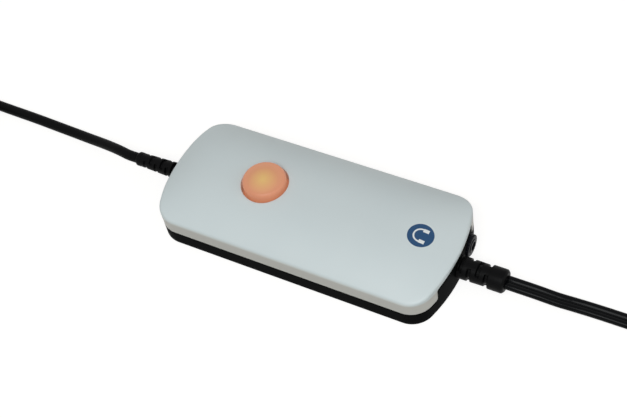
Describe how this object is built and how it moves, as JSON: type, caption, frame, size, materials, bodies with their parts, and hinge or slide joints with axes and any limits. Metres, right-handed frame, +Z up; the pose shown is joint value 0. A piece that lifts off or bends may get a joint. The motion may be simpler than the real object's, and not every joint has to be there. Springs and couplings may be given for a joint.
{
  "type": "audiometer",
  "caption": "In-line audiometer: crowned two-part casing with one lit button and a response socket, on a round computer lead and a flat twin headset lead.",
  "frame": {"origin": "centre of the flat underside of the casing", "axes": "+X along the casing towards the headset lead and the response socket, +Y across it towards the socket's side, +Z up through the button"},
  "size_m": [0.5374, 0.0643, 0.026],
  "materials": {
    "white_shell": "fine satin texture",
    "black_shell": "fine satin texture",
    "orange_cap": "smooth, see-through, lit from below",
    "steel": "plain",
    "chip_plastic": "matt",
    "clear_plastic": "smooth",
    "lamp": "smooth",
    "board": "solder mask",
    "can_metal": "plain",
    "header_plastic": "plain",
    "wire_red": "plain",
    "wire_blue": "plain",
    "wire_yellow": "plain",
    "socket_plastic": "smooth",
    "lead_rubber": "satin",
    "round_lead": "satin",
    "twin_lead": "glossy",
    "tie_plastic": "plain",
    "plug_plastic": "satin",
    "plug_steel": "bright",
    "gold_contact": "bright",
    "ring_plastic": "plain"
  },
  "bodies": {
    "casing": {"top_shell": "white_shell", "bottom_shell": "black_shell", "button_spring": "steel", "switch_body": "chip_plastic", "button_led": "lamp", "main_circuit_board": "board", "controller_chip": "chip_plastic", "audio_codec_chip": "chip_plastic", "headphone_amplifier_chip": "chip_plastic", "isolator_chip": "chip_plastic", "isolated_power_module": "chip_plastic", "memory_chip": "chip_plastic", "crystal": "steel", "capacitors": "can_metal", "usb_wire_header": "header_plastic", "headset_wire_header": "header_plastic", "usb_wires": "wire_red", "headset_wires": "wire_blue", "socket_body": "socket_plastic", "socket_nut": "socket_plastic", "socket_wires": "wire_yellow", "case_screws": "steel", "board_screws": "steel", "usb_strain_relief": "lead_rubber", "headset_strain_relief": "lead_rubber", "usb_lead": "round_lead", "usb_lead_hank": "round_lead", "usb_lead_tail": "round_lead", "usb_hank_tie": "tie_plastic", "usb_plug_grip": "plug_plastic", "usb_plug_shell": "plug_steel", "usb_plug_insert": "header_plastic", "usb_plug_contacts": "gold_contact", "headset_lead": "twin_lead", "headset_lead_hank": "twin_lead", "headset_lead_tail": "twin_lead", "headset_hank_tie": "tie_plastic", "headset_plug_grip": "plug_plastic", "headset_plug_pin": "plug_steel", "headset_plug_rings": "ring_plastic"},
    "button": {"response_button": "orange_cap"},
    "plunger": {"switch_plunger": "clear_plastic"}
  },
  "joints": [
    {"name": "button_press", "type": "slide", "parent": "casing", "child": "button", "axis": [0, 0, -1], "range_m": [0, 0.0008], "stiffness_N_per_m": 1200, "deforming": ["button_spring"]},
    {"name": "plunger_press", "type": "slide", "parent": "casing", "child": "plunger", "axis": [0, 0, -1], "range_m": [0, 0.0008]}
  ],
  "couplings": [
    {"joint": "plunger_press", "follows": "button_press", "ratio": 1}
  ]
}
